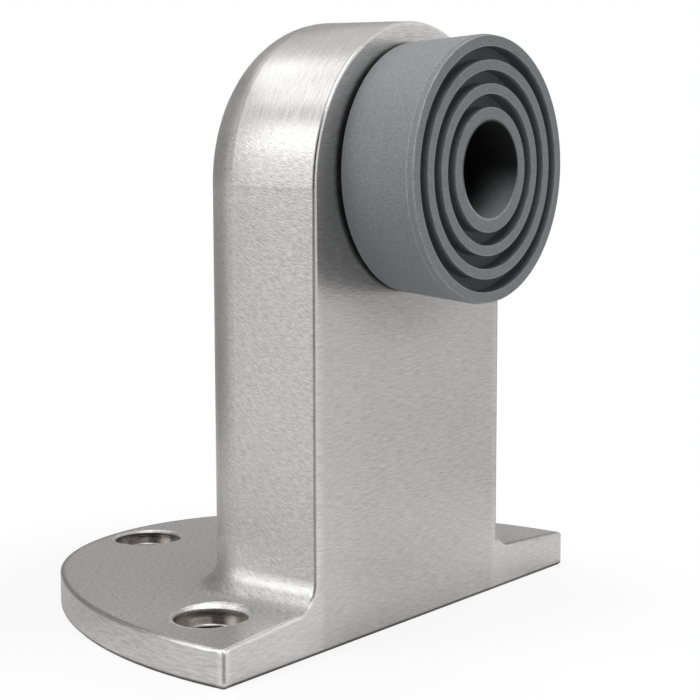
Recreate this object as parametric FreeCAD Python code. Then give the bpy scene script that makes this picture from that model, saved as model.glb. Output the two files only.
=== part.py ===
import FreeCAD, Part
import math
import os

V = FreeCAD.Vector

# Lengths in mm, angles in degrees. +Z is up from the floor and the bumper looks along -Y.

# Floor plate: straight in front, behind it two side arcs that meet a smaller back arc.
PLATE_WIDTH = 101.4
PLATE_DEPTH = 70.2
WIDEST_SETBACK = 4.0
SIDE_ARC_ANGLE = 42.0
RIM_HEIGHT = 6.4
CROWN_RISE = 1.2

# Post: flat front flush with the plate's front edge, arched top.
POST_WIDTH = 54.3
POST_DEPTH = 27.0
POST_HEIGHT = 104.4
POST_BACK_ROUND = 9.5
FOOT_FILLET = 4.8
FOOT_LANDING = 0.1
EDGE_ROUND = 0.6
UNDERSIDE_BREAK = 0.4

# Floor screw holes, one at each side and one at the back, turned a little about the plate's middle.
SIDE_HOLE_OFFSET = 40.2
SIDE_HOLE_SETBACK = 16.8
BACK_HOLE_SETBACK = 61.6
HOLE_PATTERN_TURN = 5.0
SCREW_HOLE_DIAMETER = 7.4
SCREW_SEAT_DIAMETER = 12.5
SCREW_SEAT_DEPTH = 1.8
SEAT_CHAMFER = 0.55
HOLE_EDGE_BREAK = 0.3

# Rubber bumper, widest at its face.
BUMPER_AXIS_HEIGHT = 79.6
BUMPER_REACH = 15.8
BUMPER_FACE_DIAMETER = 44.8
BUMPER_BACK_DIAMETER = 42.6
FACE_BEVEL = 0.25
FACE_BEVEL_LENGTH = 1.2
BACK_EDGE_BEVEL = 0.25
BUMPER_HOLE_DIAMETER = 16.2
HUB_WALL = 2.3
GROOVE_COUNT = 3
GROOVE_WIDTH = 2.2
RING_WALL = 1.7
GROOVE_DEPTH = 2.8
SCREW_WEB = 2.5

# Low round pad on the bumper's back that stands on the post and leaves a narrow gap round it.
BACK_PAD_DIAMETER = 40.2
BACK_PAD_HEIGHT = 0.6

# Round head screw and washer that hold the bumper.
SCREW_DIAMETER = 5.0
SCREW_LENGTH = 20.0
SCREW_HEAD_DIAMETER = 8.5
SCREW_HEAD_HEIGHT = 2.6
SCREW_HEAD_EDGE = 0.5
SOCKET_WIDTH = 3.0
SOCKET_DEPTH = 1.6
SCREW_TIP_CHAMFER = 0.7
WASHER_DIAMETER = 12.5
WASHER_THICKNESS = 1.0
PASSING_CLEARANCE = 0.2
THREAD_CLEARANCE = 0.05
DRILL_ALLOWANCE = 2.0

# Everything below follows from the values above.
FRONT = (BUMPER_REACH - PLATE_DEPTH) / 2
CROWN_HEIGHT = RIM_HEIGHT + CROWN_RISE
SCREW_SEAT_HEIGHT = RIM_HEIGHT - SCREW_SEAT_DEPTH
ARCH_RADIUS = POST_WIDTH / 2
WASHER_SEAT = FRONT - SCREW_WEB
HEAD_SEAT = WASHER_SEAT - WASHER_THICKNESS


def mirrored(point):
    return V(-point.x, point.y, point.z)


def closed_outline(right_half, back):
    """Closed wire from edges of the right half, front to back, and the edge across the back."""
    left_half = [edge.mirror(V(0, 0, 0), V(1, 0, 0)) for edge in right_half]
    start = right_half[0].Vertexes[0].Point
    front = Part.makeLine(mirrored(start), start)
    return Part.Wire(Part.__sortEdges__([front] + right_half + [back] + left_half))


def rim_outline(height):
    """The plate's outline, run on in front of the post for a clean cut later."""
    half_width = PLATE_WIDTH / 2
    rise = PLATE_DEPTH - WIDEST_SETBACK
    turn = math.radians(SIDE_ARC_ANGLE)
    difference = (rise - half_width) / (math.cos(turn) + math.sin(turn) - 1)
    side_radius = half_width + difference * math.cos(turn)
    side_centre = V(half_width - side_radius, FRONT + WIDEST_SETBACK, height)

    def on_side(angle):
        return side_centre + V(side_radius * math.cos(angle), side_radius * math.sin(angle), 0)

    first = -math.asin(2 * WIDEST_SETBACK / side_radius)
    split = turn / 4
    meeting = on_side(turn)
    back_middle = V(0, FRONT + PLATE_DEPTH, height)
    sides = [
        Part.Arc(on_side(first), on_side((first + split) / 2), on_side(split)).toShape(),
        Part.Arc(on_side(split), on_side((split + turn) / 2), meeting).toShape(),
    ]
    return closed_outline(sides, Part.Arc(meeting, back_middle, mirrored(meeting)).toShape())


def landing_outline(height):
    """Flat ground round the post on which its foot fillet ends."""
    spread = FOOT_FILLET + FOOT_LANDING
    half_width = ARCH_RADIUS + spread
    corner = POST_BACK_ROUND + spread
    back = FRONT + POST_DEPTH + spread
    start = V(half_width, FRONT - WIDEST_SETBACK, height)
    turn_in = V(half_width, back - corner, height)
    turn_out = V(half_width - corner, back, height)
    lean = corner * (1 - math.sqrt(0.5))
    sides = [
        Part.makeLine(start, turn_in),
        Part.Arc(turn_in, V(half_width - lean, back - lean, height), turn_out).toShape(),
    ]
    return closed_outline(sides, Part.makeLine(turn_out, mirrored(turn_out)))


def floor_plate():
    """Flat slab with a top that falls from the post's landing to the rim."""
    slab = Part.Face(rim_outline(0)).extrude(V(0, 0, RIM_HEIGHT))
    crown = Part.makeLoft([rim_outline(RIM_HEIGHT), landing_outline(CROWN_HEIGHT)], True, True)
    ahead = Part.makeBox(2 * PLATE_WIDTH, PLATE_DEPTH, 2 * POST_HEIGHT,
                         V(-PLATE_WIDTH, FRONT - PLATE_DEPTH, -POST_HEIGHT))
    return slab.fuse(crown).cut(ahead)


def post():
    """Arched post with its back edges rounded off."""
    shoulder = POST_HEIGHT - ARCH_RADIUS
    left_foot = V(-ARCH_RADIUS, FRONT, 0)
    left_shoulder = V(-ARCH_RADIUS, FRONT, shoulder)
    right_shoulder = V(ARCH_RADIUS, FRONT, shoulder)
    right_foot = V(ARCH_RADIUS, FRONT, 0)
    arch = Part.Arc(left_shoulder, V(0, FRONT, POST_HEIGHT), right_shoulder)
    outline = Part.Wire([
        Part.makeLine(left_foot, left_shoulder),
        arch.toShape(),
        Part.makeLine(right_shoulder, right_foot),
        Part.makeLine(right_foot, left_foot),
    ])
    blank = Part.Face(outline).extrude(V(0, POST_DEPTH, 0))
    back = FRONT + POST_DEPTH
    back_edges = [e for e in blank.Edges if lies_at(e, "y", back) and e.BoundBox.ZMax > RIM_HEIGHT]
    return blank.makeFillet(POST_BACK_ROUND, back_edges)


def lies_at(edge, direction, value):
    """True when the whole edge lies in one plane across the given direction."""
    box = edge.BoundBox
    low, high = {"x": (box.XMin, box.XMax), "y": (box.YMin, box.YMax), "z": (box.ZMin, box.ZMax)}[direction]
    return abs(low - value) < 1e-3 and abs(high - value) < 1e-3


def foot_edges(body):
    """Edges where the post stands on its flat landing."""
    found = []
    for edge in body.Edges:
        box = edge.BoundBox
        by_post = max(-box.XMin, box.XMax) < ARCH_RADIUS + FOOT_LANDING
        by_post = by_post and box.YMax < FRONT + POST_DEPTH + FOOT_LANDING
        if lies_at(edge, "z", CROWN_HEIGHT) and by_post and not lies_at(edge, "y", FRONT):
            found.append(edge)
    return found


def outer_edges(body):
    """The rim, the front corners and all edges of the flat front face."""
    found = []
    for edge in body.Edges:
        if lies_at(edge, "z", 0):
            continue
        on_rim = lies_at(edge, "z", RIM_HEIGHT)
        if on_rim or lies_at(edge, "y", FRONT):
            found.append(edge)
    return found


def screw_places():
    """Middles of the left, right and back holes at floor level."""
    turn = math.radians(HOLE_PATTERN_TURN)
    places = [
        (-SIDE_HOLE_OFFSET, SIDE_HOLE_SETBACK),
        (SIDE_HOLE_OFFSET, SIDE_HOLE_SETBACK),
        (0, BACK_HOLE_SETBACK),
    ]
    turned_places = []
    for x, setback in places:
        y = setback - PLATE_DEPTH / 2
        turned_places.append(V(x * math.cos(turn) - y * math.sin(turn),
                               FRONT + PLATE_DEPTH / 2 + x * math.sin(turn) + y * math.cos(turn), 0))
    return turned_places


def screw_hole(place, top):
    """Through hole with a wider seat for a screw head, chamfered where it meets the plate's top."""
    hole_radius = SCREW_HOLE_DIAMETER / 2
    seat_radius = SCREW_SEAT_DIAMETER / 2
    seat_level = V(0, 0, SCREW_SEAT_HEIGHT)
    hole = Part.makeCylinder(hole_radius, SCREW_SEAT_HEIGHT, place)
    edge_break = Part.makeCone(hole_radius, hole_radius + HOLE_EDGE_BREAK, HOLE_EDGE_BREAK,
                               place + seat_level - V(0, 0, HOLE_EDGE_BREAK))
    seat = Part.makeCylinder(seat_radius, top - SCREW_SEAT_HEIGHT, place + seat_level)
    flare = CROWN_RISE + SEAT_CHAMFER
    chamfer = Part.makeCone(seat_radius, seat_radius + flare, flare, place + V(0, 0, top - SEAT_CHAMFER))
    return hole.fuse(edge_break).fuse(seat).fuse(chamfer)


def rings_hole(edge, diameter):
    """True when the edge runs round one of the screw holes at the given diameter."""
    points = edge.discretize(7)
    for place in screw_places():
        reaches = [math.hypot(point.x - place.x, point.y - place.y) for point in points]
        if max(abs(reach - diameter / 2) for reach in reaches) < 1e-3:
            return True
    return False


def drilled_plate():
    """Floor plate with its three screw holes."""
    plate = floor_plate()
    for place in screw_places():
        plumb_line = Part.makeLine(place, place + V(0, 0, POST_HEIGHT))
        top = plate.common(plumb_line).BoundBox.ZMax
        plate = plate.cut(screw_hole(place, top))
    return plate


def underside_edges(body):
    """The outline of the underside, without the screw holes."""
    return [e for e in body.Edges if lies_at(e, "z", 0) and not rings_hole(e, SCREW_HOLE_DIAMETER)]


def bumper_screw_hole():
    """Blind hole in the post for the bumper's screw."""
    threaded_length = SCREW_LENGTH - SCREW_WEB - WASHER_THICKNESS
    return Part.makeCylinder(SCREW_DIAMETER / 2 + THREAD_CLEARANCE, threaded_length + DRILL_ALLOWANCE,
                             V(0, FRONT, BUMPER_AXIS_HEIGHT), V(0, 1, 0))


def cast_body():
    """Floor plate and post, cast in one piece."""
    body = drilled_plate().fuse(post()).removeSplitter()
    body = body.makeFillet(FOOT_FILLET, foot_edges(body))
    body = body.makeFillet(EDGE_ROUND, outer_edges(body))
    body = body.makeChamfer(UNDERSIDE_BREAK, underside_edges(body))
    return body.cut(bumper_screw_hole())


def turned(points):
    """Turned solid from (radius, place on the Y axis) points, on the bumper's axis."""
    outline = [V(radius, y, BUMPER_AXIS_HEIGHT) for radius, y in points]
    face = Part.Face(Part.makePolygon(outline + [outline[0]]))
    return face.revolve(V(0, 0, BUMPER_AXIS_HEIGHT), V(0, 1, 0), 360)


def rubber_bumper():
    """Tapered rubber ring with round grooves in its face, a deep hole and a low pad behind."""
    face = FRONT - BUMPER_REACH
    outer = BUMPER_FACE_DIAMETER / 2
    back = BUMPER_BACK_DIAMETER / 2
    hole = BUMPER_HOLE_DIAMETER / 2
    passage = SCREW_DIAMETER / 2 + PASSING_CLEARANCE
    back_edge = FRONT - BACK_PAD_HEIGHT
    blank = turned([
        (passage, FRONT),
        (BACK_PAD_DIAMETER / 2, FRONT),
        (BACK_PAD_DIAMETER / 2, back_edge),
        (back - BACK_EDGE_BEVEL, back_edge),
        (back, back_edge - BACK_EDGE_BEVEL),
        (outer, face + FACE_BEVEL_LENGTH),
        (outer - FACE_BEVEL, face),
        (hole, face),
        (hole, WASHER_SEAT),
        (passage, WASHER_SEAT),
    ])
    inner = hole + HUB_WALL
    for _ in range(GROOVE_COUNT):
        groove = turned([
            (inner, face - GROOVE_DEPTH),
            (inner + GROOVE_WIDTH, face - GROOVE_DEPTH),
            (inner + GROOVE_WIDTH, face + GROOVE_DEPTH),
            (inner, face + GROOVE_DEPTH),
        ])
        blank = blank.cut(groove)
        inner += GROOVE_WIDTH + RING_WALL
    return blank


def bumper_washer():
    """Flat washer under the screw's head."""
    outer = WASHER_DIAMETER / 2
    hole = SCREW_DIAMETER / 2 + PASSING_CLEARANCE
    return turned([(hole, WASHER_SEAT), (outer, WASHER_SEAT), (outer, HEAD_SEAT), (hole, HEAD_SEAT)])


def bumper_screw():
    """Round head screw with a hexagon socket."""
    shank = SCREW_DIAMETER / 2
    head = SCREW_HEAD_DIAMETER / 2
    tip = HEAD_SEAT + SCREW_LENGTH
    top = HEAD_SEAT - SCREW_HEAD_HEIGHT
    flat = SOCKET_WIDTH * 0.75
    section = [
        Part.makeLine(V(0, tip, 0), V(shank - SCREW_TIP_CHAMFER, tip, 0)),
        Part.makeLine(V(shank - SCREW_TIP_CHAMFER, tip, 0), V(shank, tip - SCREW_TIP_CHAMFER, 0)),
        Part.makeLine(V(shank, tip - SCREW_TIP_CHAMFER, 0), V(shank, HEAD_SEAT, 0)),
        Part.makeLine(V(shank, HEAD_SEAT, 0), V(head, HEAD_SEAT, 0)),
        Part.makeLine(V(head, HEAD_SEAT, 0), V(head, HEAD_SEAT - SCREW_HEAD_EDGE, 0)),
        Part.makeLine(V(head, HEAD_SEAT - SCREW_HEAD_EDGE, 0), V(flat, top, 0)),
        Part.makeLine(V(flat, top, 0), V(0, top, 0)),
        Part.makeLine(V(0, top, 0), V(0, tip, 0)),
    ]
    screw = Part.Face(Part.Wire(section)).revolve(V(0, 0, 0), V(0, 1, 0), 360)
    corner = SOCKET_WIDTH / math.sqrt(3)
    hexagon = [V(corner * math.cos(math.radians(60 * i)), top, corner * math.sin(math.radians(60 * i)))
               for i in range(7)]
    socket = Part.Face(Part.makePolygon(hexagon)).extrude(V(0, SOCKET_DEPTH, 0))
    screw = screw.cut(socket)
    screw.translate(V(0, 0, BUMPER_AXIS_HEIGHT))
    return screw


def export(name, shape):
    shape.exportStep("parts/" + name + ".step")


os.makedirs("parts", exist_ok=True)
export("cast_body", cast_body())
export("rubber_bumper", rubber_bumper())
export("bumper_washer", bumper_washer())
export("bumper_screw", bumper_screw())
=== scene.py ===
import bpy
import math
from types import SimpleNamespace
from mathutils import Matrix, Vector


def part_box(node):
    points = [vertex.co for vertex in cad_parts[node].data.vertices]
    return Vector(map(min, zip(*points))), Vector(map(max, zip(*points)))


# The part's own frame: +Z up from the floor, -Y the way the bumper faces. The camera and lamps are placed
# in metres, and the sizes that the finishes are laid out by are in millimetres.
MM = 0.001

CAMERA_PLACE = Vector((-0.27097, -0.22014, 0.09362))
CAMERA_TARGET = Vector((-0.01802, -0.02720, 0.05012))
CAMERA_ROLL = -0.13
CAMERA_LENS = 99.57

# Brightness of the white room, which is 1 where the camera sees it.
ROOM_IN_METAL = 0.82
ROOM_AS_LIGHT = 0.46

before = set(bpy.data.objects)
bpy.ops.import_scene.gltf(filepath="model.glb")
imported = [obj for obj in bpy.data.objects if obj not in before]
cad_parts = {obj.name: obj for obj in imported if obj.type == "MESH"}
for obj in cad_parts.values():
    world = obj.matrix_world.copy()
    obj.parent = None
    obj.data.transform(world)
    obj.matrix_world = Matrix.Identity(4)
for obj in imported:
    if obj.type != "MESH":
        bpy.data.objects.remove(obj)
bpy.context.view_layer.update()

BODY_LOW, BODY_HIGH = [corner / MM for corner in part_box("cast_body")]
BUMPER_LOW, BUMPER_HIGH = [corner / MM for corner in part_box("rubber_bumper")]

# Casting: flat front, post with a round top, plate with a crowned top.
FRONT_FACE = BODY_LOW.y
PLATE_MIDDLE = (BODY_LOW.y + BODY_HIGH.y) / 2
CORNER_INSET = 0.15
PLATE_CORNER = BODY_HIGH.x - CORNER_INSET
RIM_HEIGHT = 6.4
CROWN_HEIGHT = 7.6
CROWN_HALF_WIDTH = 32.0
POST_HALF_WIDTH = 27.15
SHOULDER_HEIGHT = BODY_HIGH.z - POST_HALF_WIDTH

# Floor screw holes: two beside the post and one behind it, turned a little about the plate's middle.
SIDE_HOLE_OFFSET = 40.2
SIDE_HOLE_SETBACK = 16.8
BACK_HOLE_SETBACK = 61.6
HOLE_PATTERN_TURN = 5.0
HOLE_SEAT_RADIUS = 6.25
HOLE_BORE_RADIUS = 3.7

# Bumper: three grooves round a deep hole.
BUMPER_FACE = BUMPER_LOW.y
BUMPER_AXIS = (BUMPER_LOW.z + BUMPER_HIGH.z) / 2
BUMPER_HOLE_RADIUS = 8.1
BUMPER_OUTER_LINE = 22.15
GROOVE_COUNT = 3
GROOVE_WIDTH = 2.2
GROOVE_PITCH = 3.9
FIRST_GROOVE_RADIUS = 10.4


class Shader:
    """A material's node tree, written as plain sums."""

    def __init__(self, tree):
        self.tree = tree

    def node(self, kind, settings=(), **values):
        """New node. Each value goes to the socket of that name, or of that number as n0, n1 and so on."""
        made = self.tree.nodes.new(kind)
        for name, value in dict(settings).items():
            setattr(made, name, value)
        for name, value in values.items():
            by_number = name[0] == "n" and name[1:].isdigit()
            socket = made.inputs[int(name[1:]) if by_number else name.replace("_", " ")]
            self.feed(socket, value)
        return made

    def feed(self, socket, value):
        if isinstance(value, Value):
            self.tree.links.new(value.socket, socket)
        elif isinstance(value, bpy.types.NodeSocket):
            self.tree.links.new(value, socket)
        else:
            socket.default_value = value

    def math(self, operation, *values):
        inputs = {"n" + str(i): value for i, value in enumerate(values)}
        return Value(self, self.node("ShaderNodeMath", {"operation": operation}, **inputs).outputs[0])

    def length(self, a, b):
        return self.math("SQRT", a * a + b * b)

    def place(self):
        """Object coordinates as three values, in millimetres."""
        coordinates = self.node("ShaderNodeTexCoord").outputs["Object"]
        parts = self.node("ShaderNodeSeparateXYZ", n0=coordinates).outputs
        return [Value(self, part) * (1 / MM) for part in parts]

    def noise(self, x, y, z, detail=2.0, roughness=0.5):
        vector = self.node("ShaderNodeCombineXYZ", n0=x, n1=y, n2=z).outputs[0]
        settings = {"noise_dimensions": "3D"}
        sockets = {"Vector": vector, "Scale": 1.0, "Detail": detail, "Roughness": roughness}
        return Value(self, self.node("ShaderNodeTexNoise", settings, **sockets).outputs["Fac"])

    def ramp(self, value, low, high, start=0.0, end=1.0):
        """Goes smoothly from start to end while value goes from low to high."""
        settings = {"interpolation_type": "SMOOTHSTEP"}
        sockets = {"Value": value, "From_Min": low, "From_Max": high, "To_Min": start, "To_Max": end}
        return Value(self, self.node("ShaderNodeMapRange", settings, **sockets).outputs[0])

    def between(self, value, start, full, fall, end):
        """Rises from 0 to 1 from start to full, stays there, and falls back to 0 from fall to end."""
        return self.ramp(value, start, full) * self.ramp(value, end, fall)

    def line(self, value, middle, half_width, core):
        """Line where value is near the middle: 1 within the core, 0 beyond the half width."""
        return self.ramp(self.math("ABSOLUTE", value - middle), half_width, core)

    def mix(self, factor, a, b):
        return factor * b + (1 - factor) * a

    def colour(self, red, green, blue):
        return self.node("ShaderNodeCombineColor", Red=red, Green=green, Blue=blue).outputs[0]

    def bump(self, height, distance, strength=1.0, under=None):
        node = self.node("ShaderNodeBump", Height=height, Distance=distance, Strength=strength)
        if under is not None:
            self.feed(node.inputs["Normal"], under)
        return node.outputs[0]

    def finish(self, **values):
        surface = self.node("ShaderNodeBsdfPrincipled", **values)
        self.show(surface)

    def show(self, surface, output="ShaderNodeOutputMaterial"):
        self.tree.links.new(surface.outputs[0], self.node(output).inputs["Surface"])


class Value:
    """One number in a shader. It adds, subtracts and multiplies like a plain number."""

    def __init__(self, shader, socket):
        self.shader = shader
        self.socket = socket

    def __add__(self, other):
        return self.shader.math("ADD", self, other)

    def __radd__(self, other):
        return self.shader.math("ADD", other, self)

    def __sub__(self, other):
        return self.shader.math("SUBTRACT", self, other)

    def __rsub__(self, other):
        return self.shader.math("SUBTRACT", other, self)

    def __mul__(self, other):
        return self.shader.math("MULTIPLY", self, other)

    def __rmul__(self, other):
        return self.shader.math("MULTIPLY", other, self)


def new_material(name):
    material = bpy.data.materials.new(name)
    material.use_nodes = True
    material.node_tree.nodes.clear()
    return material, Shader(material.node_tree)


def screw_hole_middles():
    """Middles of the three floor screw holes."""
    turn = math.radians(HOLE_PATTERN_TURN)
    middles = []
    for across, setback in (
        (-SIDE_HOLE_OFFSET, SIDE_HOLE_SETBACK),
        (SIDE_HOLE_OFFSET, SIDE_HOLE_SETBACK),
        (0.0, BACK_HOLE_SETBACK),
    ):
        back = FRONT_FACE + setback - PLATE_MIDDLE
        x = across * math.cos(turn) - back * math.sin(turn)
        y = across * math.sin(turn) + back * math.cos(turn) + PLATE_MIDDLE
        middles.append((x, y))
    return middles


def ring_edge_radii():
    """Radii of all edges on the bumper's face, from the hole outwards."""
    radii = [BUMPER_HOLE_RADIUS]
    for groove in range(GROOVE_COUNT):
        start = FIRST_GROOVE_RADIUS + groove * GROOVE_PITCH
        radii += [start, start + GROOVE_WIDTH]
    return radii + [BUMPER_OUTER_LINE]


def casting_places(s):
    """Distances on the casting, and masks that are 1 on one kind of surface and 0 off it."""
    x, y, z = s.place()
    at = SimpleNamespace(x=x, y=y, z=z)
    at.behind = y - FRONT_FACE
    at.sideways = s.math("ABSOLUTE", x)
    at.above_shoulder = z - SHOULDER_HEIGHT
    at.inward = POST_HALF_WIDTH - s.length(x, s.math("MAXIMUM", at.above_shoulder, 0.0))
    at.left = s.ramp(x, 10, -10)
    at.front = s.ramp(at.behind, 0.35, 0.1)
    at.not_front = 1 - at.front
    at.post = s.ramp(z, 6.5, 8.5)
    at.back = at.post * s.ramp(y, -13, -3)
    at.foot = at.post * s.ramp(z, 18, 10) * at.not_front
    at.arch = s.ramp(at.above_shoulder, 6, 13) * s.ramp(at.inward, 9.5, 6.5) * at.not_front
    at.top = s.between(z, 5.9, 6.5, 7.7, 8.6) * at.not_front
    at.rim = s.ramp(z, 6.6, 6.0)
    return at


def brush_marks(s, at):
    """Short strokes about a fifth of a millimetre wide, with grain, pits and a faint cloud."""
    slanted = at.z - at.behind * (0.12 + 0.009 * at.behind)
    along = at.x * 0.7 + at.y
    wall = s.noise(at.x * 0.3, along * 0.8, slanted * 4.8, roughness=0.6)
    rim = s.noise(at.x * 0.38, at.y * 0.38, at.z * 4.6, roughness=0.6)
    front = s.noise(at.x * 0.4, 3.0, at.z * 5.0, roughness=0.6)
    round_arch = s.math("ARCTAN2", at.above_shoulder, at.x)
    arch = s.noise(round_arch * 8.0, (at.y + at.inward) * 3.8, 4.0, roughness=0.55)
    right_and_near = at.x * 0.606 - at.y * 0.795
    right_and_far = at.x * 0.795 + at.y * 0.606
    top = s.noise(right_and_near * 1.3, right_and_far * 3.2, 7.0, roughness=0.6)
    strokes = s.mix(at.arch, wall, arch)
    strokes = s.mix(at.rim, strokes, rim)
    strokes = s.mix(at.front, strokes, front)
    strokes = s.mix(at.top, strokes, top)
    streaks = s.noise(at.x * 0.11, at.y * 0.11, at.z * 2.6, detail=1.0)
    return SimpleNamespace(
        strokes=strokes,
        level_streaks=s.math("MAXIMUM", at.front, at.rim) * (streaks - 0.5),
        grain=s.noise(at.x * 3.6, at.y * 3.6, at.z * 3.6, detail=1.0, roughness=0.7),
        pits=s.noise(at.x * 0.9, at.y * 0.9, at.z * 1.3),
        cloud=s.noise(at.x * 0.06, at.y * 0.06, at.z * 0.06, detail=3.0),
    )


def brushed_tone(s, at, marks):
    """Grey of the metal with its strokes, deepest on the plate's top and shallowest on the arch."""
    depth = s.mix(at.front, 0.9, 0.84)
    depth = s.mix(at.top, depth, 1.3)
    depth = s.mix(at.arch, depth, 0.70)
    grain = 0.24 * (1 - 0.6 * at.arch) * (marks.grain - 0.5)
    tone = 0.58 + depth * (0.62 * (marks.strokes - 0.5) + grain)
    return tone + 0.03 * (marks.cloud - 0.5) + 0.09 * marks.level_streaks


def front_face_light(s, at):
    """Painted light on the flat front: it is lighter along its edges, in its upper part, at the left and near
    the floor.

    Painted shade makes it darker in a band above the plate and low at the right.
    """
    along_edges = 0.09 * s.ramp(at.inward, 2.8, 0.6)
    upper = s.ramp(at.z, 32, 46, 0.012, 0.06)
    left = 0.03 * s.ramp(at.x, -10, -24) * s.ramp(at.z, 66, 54)
    low = 0.07 * s.ramp(at.z, 12, 4) * s.ramp(at.x, -45, -25, -0.3, 1.0)
    low_band = 0.035 * s.between(at.z, 9, 15, 22, 32)
    low_right = 0.16 * s.ramp(at.x, 20, 44) * s.ramp(at.z, 30, 16)
    return at.front * (along_edges + upper + left + low - low_band - low_right)


def plate_and_foot_light(s, at):
    """Painted light: the plate's top is lighter toward the back and its rim toward the front.

    The fillet round the post's foot has a painted highlight toward the front, and painted shade toward the
    back and where it meets the plate.
    """
    top = at.top * s.ramp(at.y, -20, -2, 0.04, 0.075)
    rim = at.rim * at.not_front * s.ramp(at.y, -8, -20)
    fillet = at.foot * (0.03 * s.ramp(at.behind, 20, 9) - 0.14 * s.ramp(at.y, -14, -4))
    fillet_end = s.between(at.z, 6.9, 7.4, 8, 9.5) * at.not_front * s.ramp(at.y, -8, -18)
    return top + 0.05 * rim + fillet - 0.07 * fillet_end


def arch_light(s, at):
    """Painted light and shade: the wall is lighter where it ends, the arch darker where it begins and lighter
    toward its crest.
    """
    wall_end = s.between(at.above_shoulder, -9, 0, 0, 3)
    arch_start = s.between(at.above_shoulder, -2, 2, 6, 12)
    crest = s.ramp(at.above_shoulder, 16.75, 20.25, -0.05, 0.05)
    crest = crest * s.between(at.above_shoulder, 13.25, 15.75, 21.75, 24.25)
    return at.not_front * (0.03 * wall_end - 0.07 * arch_start) + at.arch * crest


def shade_under_bumper(s, at):
    """The share of light that is left on the front beneath the bumper."""
    from_axis = s.length(at.x, at.z - BUMPER_AXIS)
    beneath = at.front * s.ramp(from_axis, 33, 22) * s.ramp(at.z, 64, 57)
    return 1 - 0.24 * beneath * s.ramp(at.x, 16, -4, 0.6, 1.0)


def with_post_edges(s, at, tone):
    """Painted dark reflections run as lines down the post just behind its front edges and along the right
    edge of its front.
    """
    above_plate = s.ramp(at.z, 8.5, 10)
    behind_edge = s.line(at.behind, 0.45, 0.30, 0.12) * s.ramp(at.inward, 0.6, 0.3)
    behind_edge = behind_edge * above_plate * s.ramp(at.above_shoulder, 16, 8)
    right_edge = at.front * s.ramp(at.inward, 0.80, 0.50) * s.ramp(at.x, 10, 20) * above_plate
    return tone * (1 - 0.45 * behind_edge) * (1 - 0.35 * right_edge)


def with_plate_corners(s, at, tone):
    """The plate's front corners have a painted dark reflection line. The left one has painted highlights
    beside it and on its point.
    """
    from_corner = s.length(at.sideways - PLATE_CORNER, at.behind)
    # Painted dark reflection line down each front corner.
    dark = 0.44 * s.ramp(from_corner, 0.55, 0.22) * s.between(at.z, 0.7, 1.4, 5.8, 6.15)
    # Painted highlights beside the left corner and on its point.
    corner_highlight = 0.12 * at.left * s.ramp(from_corner, 1.9, 0.7)
    point = 0.35 * at.left * s.ramp(from_corner, 1.6, 0.6) * s.ramp(at.z, 5.5, 6.1)
    return tone + at.rim * (corner_highlight - dark) + point


def with_plate_edges(s, at, tone):
    """Upper edges of the plate.

    The rim's has a painted dark line toward the back and painted light near the front corners. The front's
    has a painted highlight at the left and a painted dark line behind it at the right.
    """
    rim_line = s.between(at.z, 5.7, 5.95, RIM_HEIGHT, RIM_HEIGHT + 0.06) * at.not_front
    tone = tone * (1 - 0.42 * rim_line * s.ramp(at.y, -20, -4))
    tone = tone + 0.05 * rim_line * s.ramp(at.y, -14, -24)
    slope = (CROWN_HEIGHT - RIM_HEIGHT) / (PLATE_CORNER - CROWN_HALF_WIDTH)
    plate_top = CROWN_HEIGHT - slope * s.math("MAXIMUM", at.sideways - CROWN_HALF_WIDTH, 0.0)
    # Painted highlight along the front edge of the plate at the left.
    lip = s.ramp(at.behind, 0.85, 0.6) * s.ramp(at.z - plate_top, -0.55, -0.30)
    lip = lip * s.ramp(at.sideways, CROWN_HALF_WIDTH - 1.5, CROWN_HALF_WIDTH)
    tone = tone + at.left * lip * s.mix(at.front, 0.30, 0.17)
    # Painted dark line just behind the front edge at the right.
    return tone - 0.20 * at.top * (1 - at.left) * s.ramp(at.behind, 1.7, 0.9)


def with_screw_holes(s, at, tone):
    """Each hole has a painted highlight on its rim, and painted shade that darkens its seat and more its
    bore. The mask of the seats is given back too.
    """
    rim = 0.0
    seat = 0.0
    bore = 0.0
    for middle_x, middle_y in screw_hole_middles():
        from_middle = s.length(at.x - middle_x, at.y - middle_y)
        rim = rim + s.ramp(from_middle, HOLE_SEAT_RADIUS + 0.7, HOLE_SEAT_RADIUS + 0.5)
        seat = seat + s.ramp(from_middle, HOLE_SEAT_RADIUS + 0.2, HOLE_SEAT_RADIUS)
        bore = bore + s.ramp(from_middle, HOLE_BORE_RADIUS + 0.3, HOLE_BORE_RADIUS)
    seat = seat * s.ramp(at.z, 7.1, 6.5)
    bore = bore * s.ramp(at.z, 4.7, 4.3)
    # Painted highlight on the holes' rims, then painted shade in the seats and bores.
    tone = tone + 0.16 * rim * s.ramp(at.z, 5.6, 6.2)
    return tone * (1 - 0.18 * seat) * (1 - 0.8 * bore), seat


def bent_walls(s, at):
    """The walls' shading normals bend a little before the round of the post's back and the fillet of its foot
    begin.
    """
    into_bend = s.math("MAXIMUM", s.math("MINIMUM", at.y, -1.0) + 20, 0.0)
    bend = 0.0046 * into_bend * into_bend * s.ramp(at.z, 8, 18) * s.ramp(at.z, 44, 88, 1.5, 0.80)
    into_flare = 20 - s.math("MAXIMUM", s.math("MINIMUM", at.z, 20.0), 8.0)
    flare = 0.0042 * into_flare * into_flare
    return s.bump(flare - bend, MM, strength=at.not_front)


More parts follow.
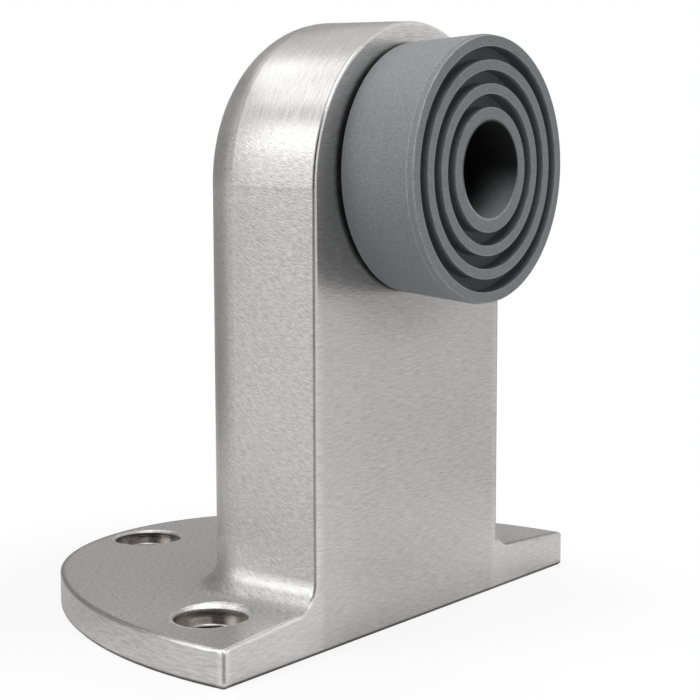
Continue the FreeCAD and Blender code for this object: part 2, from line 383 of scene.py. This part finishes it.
def brushed_metal():
    """Satin grey metal: level strokes on the walls, strokes that follow the arch on the post's round top."""
    material, s = new_material("brushed_metal")
    at = casting_places(s)
    marks = brush_marks(s, at)

    tone = brushed_tone(s, at, marks) + front_face_light(s, at) + plate_and_foot_light(s, at)
    # Painted shade toward the back of the post, then painted light and shade on the arch.
    tone = tone * (1 - 0.09 * at.back) + arch_light(s, at)
    tone = tone * shade_under_bumper(s, at)
    # Painted shade along the plate's bottom edge.
    tone = tone * s.ramp(at.z, 0.45, 0.80, 0.28, 1.0)
    tone = with_plate_corners(s, at, tone)
    tone = with_post_edges(s, at, tone)
    tone = with_plate_edges(s, at, tone)
    tone, in_seat = with_screw_holes(s, at, tone)

    # Neutral grey with a little warmth, and browner in the screw holes' seats as a painted reflection.
    red = tone * (1.012 + 0.02 * in_seat)
    green = tone * (0.992 - 0.01 * in_seat)
    blue = tone * (0.975 - 0.04 * in_seat)

    roughness = 0.23 + 0.08 * (marks.strokes - 0.5) + 0.05 * (marks.cloud - 0.5)
    roughness = roughness + 0.15 * at.top + 0.09 * at.foot + 0.04 * at.arch + 0.10 * at.back
    relief = marks.strokes * 0.6 + marks.grain * 0.3 + marks.pits * at.foot * 1.3
    normal = s.bump(relief, 0.03 * MM, under=bent_walls(s, at))
    s.finish(Base_Color=s.colour(red, green, blue), Metallic=1.0, Roughness=roughness, Normal=normal)
    return material


def rubber_shade(s, up, radius, depth):
    """The grooves, the middle hole and the gap behind the bumper hold less light."""
    within = s.ramp(radius, 20.9, 20.5)
    in_hole = s.ramp(radius, BUMPER_HOLE_RADIUS + 0.5, BUMPER_HOLE_RADIUS + 0.1)
    groove = 1 - within * (0.57 * s.ramp(depth, 0.0, 1.2) - 0.22 * s.ramp(depth, 1.2, 2.6))
    # Painted light on the hole's lower wall near the face, painted shade deeper in and on its upper wall.
    low_wall = s.ramp(up, 1.0, -7.0)
    hole = s.ramp(depth, 1.0, 9.5, 1.0, 0.02) * (0.03 + 1.45 * low_wall)
    gap = within * s.ramp(depth, 15.15, 15.30)
    return s.mix(in_hole, groove, hole) * (1 - 0.96 * gap)


def rubber_worn_lines(s, radius, depth):
    """Painted highlights: thin light lines on the rings' edges, on the seam near the face and on the edge at
    the back.
    """
    edges = 0.0
    for ring in ring_edge_radii():
        edges = edges + s.line(radius, ring, 0.22, 0.06)
    edges = edges * s.ramp(depth, 0.40, 0.10)
    outside = s.ramp(radius, 21.2, 21.25)
    seam = outside * s.line(depth, 1.25, 0.18, 0.05)
    back_edge = outside * s.line(depth, 14.95, 0.22, 0.08)
    return 0.09 * edges + 0.09 * seam + 0.08 * back_edge


def moulded_rubber():
    """Matt blue-grey rubber with a fine grain, and painted highlights along its edges."""
    material, s = new_material("moulded_rubber")
    x, y, z = s.place()
    up = z - BUMPER_AXIS
    radius = s.length(x, up)
    depth = y - BUMPER_FACE
    grain = s.noise(x * 4.6, y * 4.6, z * 4.6, roughness=0.7)
    mottle = s.noise(x * 0.42, y * 0.42, z * 0.42, detail=4.0, roughness=0.6)
    scuff = s.noise(x * 0.7 + z * 0.5, y * 2.6, z * 0.7)
    hairlines = s.noise(x * 0.3 + z * 0.26, y * 3.4 + z * 2.4, 5.0, detail=1.0)
    specks = s.ramp(s.noise(x * 2.6, y * 2.6, z * 2.6, detail=1.0), 0.70, 0.80)
    # Noise that breaks up the painted highlights along the edges.
    highlight_breakup = s.ramp(s.noise(x * 0.5, y * 0.5, z * 0.5, detail=4.0, roughness=0.7), 0.38, 0.62)

    tone = 0.184 * (1 + 1.60 * (grain - 0.5) + 0.14 * (mottle - 0.5) + 0.14 * (scuff - 0.5))
    tone = tone * (1 + 0.16 * (hairlines - 0.5) + 0.22 * specks)
    # Painted light: the upper side of the bumper is lighter.
    upper_side = s.ramp(up, 7, 19) * s.ramp(depth, 0.3, 2)
    tone = tone * (1 + 0.12 * upper_side)
    # Painted highlights along the edges, broken up by noise.
    tone = tone + rubber_worn_lines(s, radius, depth) * (0.35 + 0.65 * highlight_breakup)
    # Painted light: the bumper's face is lighter than its sides.
    on_face = s.ramp(depth, 0.35, 0.15)
    tone = tone * (1 + 0.09 * on_face)
    tone = tone * rubber_shade(s, up, radius, depth)

    colour = s.colour(tone, tone * 1.04, tone * 1.085)
    roughness = 0.60 + 0.12 * (mottle - 0.5)
    s.finish(Base_Color=colour, Roughness=roughness, Normal=s.bump(grain, 0.05 * MM))
    return material


def blackened_steel():
    """Dull black steel of the bumper's screw and washer."""
    material, s = new_material("blackened_steel")
    x, y, z = s.place()
    stain = s.noise(x * 0.7, y * 0.7, z * 0.7, detail=3.0)
    tone = 0.030 + 0.02 * (stain - 0.5)
    colour = s.colour(tone, tone, tone * 1.02)
    s.finish(Base_Color=colour, Metallic=1.0, Roughness=0.45 + 0.2 * (stain - 0.5))
    return material


def dress(node, material):
    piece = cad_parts[node]
    piece.data.materials.clear()
    piece.data.materials.append(material)


def aim(thing, target):
    thing.rotation_euler = (target - thing.location).to_track_quat("-Z", "Y").to_euler()


def photo_camera():
    bpy.ops.object.camera_add(location=CAMERA_PLACE)
    camera = bpy.context.object
    camera.name = "photo_camera"
    turn = (CAMERA_TARGET - CAMERA_PLACE).to_track_quat("-Z", "Y").to_matrix().to_4x4()
    turn = turn @ Matrix.Rotation(math.radians(CAMERA_ROLL), 4, "Z")
    camera.rotation_euler = turn.to_euler()
    camera.data.lens = CAMERA_LENS
    camera.data.sensor_width = 36.0
    camera.data.clip_start = 0.01
    bpy.context.scene.camera = camera


def soft_box(name, direction, distance, width, height, power):
    """Soft lamp that stands off in one direction and faces the post's middle."""
    target = Vector((0, 0, 0.05))
    place = Vector(direction).normalized() * distance + target
    bpy.ops.object.light_add(type="AREA", location=place)
    lamp = bpy.context.object
    lamp.name = name
    lamp.data.shape = "RECTANGLE"
    lamp.data.size = width
    lamp.data.size_y = height
    lamp.data.energy = power
    aim(lamp, target)
    return lamp


def grey_card(name, place, facing, width, height, tone, pale_end=0.0):
    """Upright card that shows only as a reflection in the metal. One end of it can fade into the room."""
    bpy.ops.mesh.primitive_plane_add(size=1.0, location=place)
    card = bpy.context.object
    card.name = name
    card.scale = (width, height, 1)
    aim(card, Vector(place) + Vector(facing))
    material, s = new_material(name + "_tone")
    glow = s.node("ShaderNodeEmission", Color=(tone, tone, tone, 1), Strength=1.0)
    if pale_end:
        across = s.place()[0] * width
        grey = s.ramp(across, (width / 2 - pale_end) / MM, width / 2 / MM, tone, ROOM_IN_METAL)
        s.feed(glow.inputs["Color"], s.colour(grey, grey, grey))
    s.show(glow)
    card.data.materials.append(material)
    card.visible_camera = False
    card.visible_diffuse = False
    card.visible_shadow = False


def bright_room():
    """White room behind the object, a little less bright where the metal reflects it, and dimmer as light."""
    world = bpy.data.worlds.new("studio_world")
    bpy.context.scene.world = world
    world.use_nodes = True
    world.node_tree.nodes.clear()
    s = Shader(world.node_tree)
    ray = s.node("ShaderNodeLightPath").outputs
    seen = Value(s, ray["Is Camera Ray"])
    mirrored = Value(s, ray["Is Glossy Ray"])
    strength = seen + (1 - seen) * s.mix(mirrored, ROOM_AS_LIGHT, ROOM_IN_METAL)
    light = s.node("ShaderNodeBackground", Color=(1, 1, 1, 1), Strength=strength)
    s.show(light, "ShaderNodeOutputWorld")


def studio_lamps():
    """Four lamps that show in the metal, two that only brighten, and two cards for the metal to reflect."""
    soft_box("left_back_lamp", (-0.76, 0.46, 0.44), 0.80, 0.48, 0.27, 0.58)
    soft_box("left_low_lamp", (-0.84, 0.52, 0.14), 0.80, 0.48, 0.19, 0.20)
    soft_box("overhead_back_lamp", (-0.16, 0.63, 0.76), 0.80, 0.50, 0.22, 0.42)
    soft_box("front_top_lamp", (-0.5, -0.6, 1.4), 1.2, 0.9, 0.9, 3.5)
    top_fill = soft_box("top_fill", (-0.40, 0.25, 1.0), 1.0, 0.5, 0.5, 5.6)
    top_fill.visible_glossy = False
    front_fill = soft_box("front_fill", (0.6, -0.8, 0.5), 1.0, 0.6, 0.4, 0.6)
    front_fill.visible_glossy = False
    grey_card("back_card", (0.205, 0.17, 0.12), (0, -1, 0), 0.72, 0.24, 0.41, pale_end=0.13)
    grey_card("left_card", (-0.86, -0.27, 0.45), (0.95, 0.30, 0), 0.70, 0.90, 0.03)


def studio_floor():
    """White floor. Far from the object it is as white as the room, near it, it takes the object's shadow."""
    bpy.ops.mesh.primitive_plane_add(size=6.0)
    floor = bpy.context.object
    floor.name = "studio_floor"
    material, s = new_material("white_floor")
    x, y = s.place()[:2]
    away = s.length(x, y)
    seen = Value(s, s.node("ShaderNodeLightPath").outputs["Is Camera Ray"])
    # Painted light on the floor: lighter ahead of the object, darker behind it.
    ahead = s.ramp(x - 0.8 * y, 0, 60) * s.ramp(away, 150, 60)
    behind = s.ramp(y, 0, 30) * s.ramp(away, 120, 60)
    white = 0.65 + 0.30 * ahead - 0.18 * behind
    paint = s.node("ShaderNodeBsdfDiffuse", Color=s.colour(white, white, white))
    glow = s.node("ShaderNodeEmission", Color=(1, 1, 1, 1), Strength=1.0)
    surface = s.node("ShaderNodeMixShader", n0=seen * s.ramp(away, 45, 90, 0.87, 1.0))
    s.feed(surface.inputs[1], paint.outputs[0])
    s.feed(surface.inputs[2], glow.outputs[0])
    s.show(surface)
    floor.data.materials.append(material)


metal = brushed_metal()
rubber = moulded_rubber()
steel = blackened_steel()
dress("cast_body", metal)
dress("rubber_bumper", rubber)
dress("bumper_washer", steel)
dress("bumper_screw", steel)

photo_camera()
bright_room()
studio_lamps()
studio_floor()
bpy.context.scene.view_settings.view_transform = "Standard"
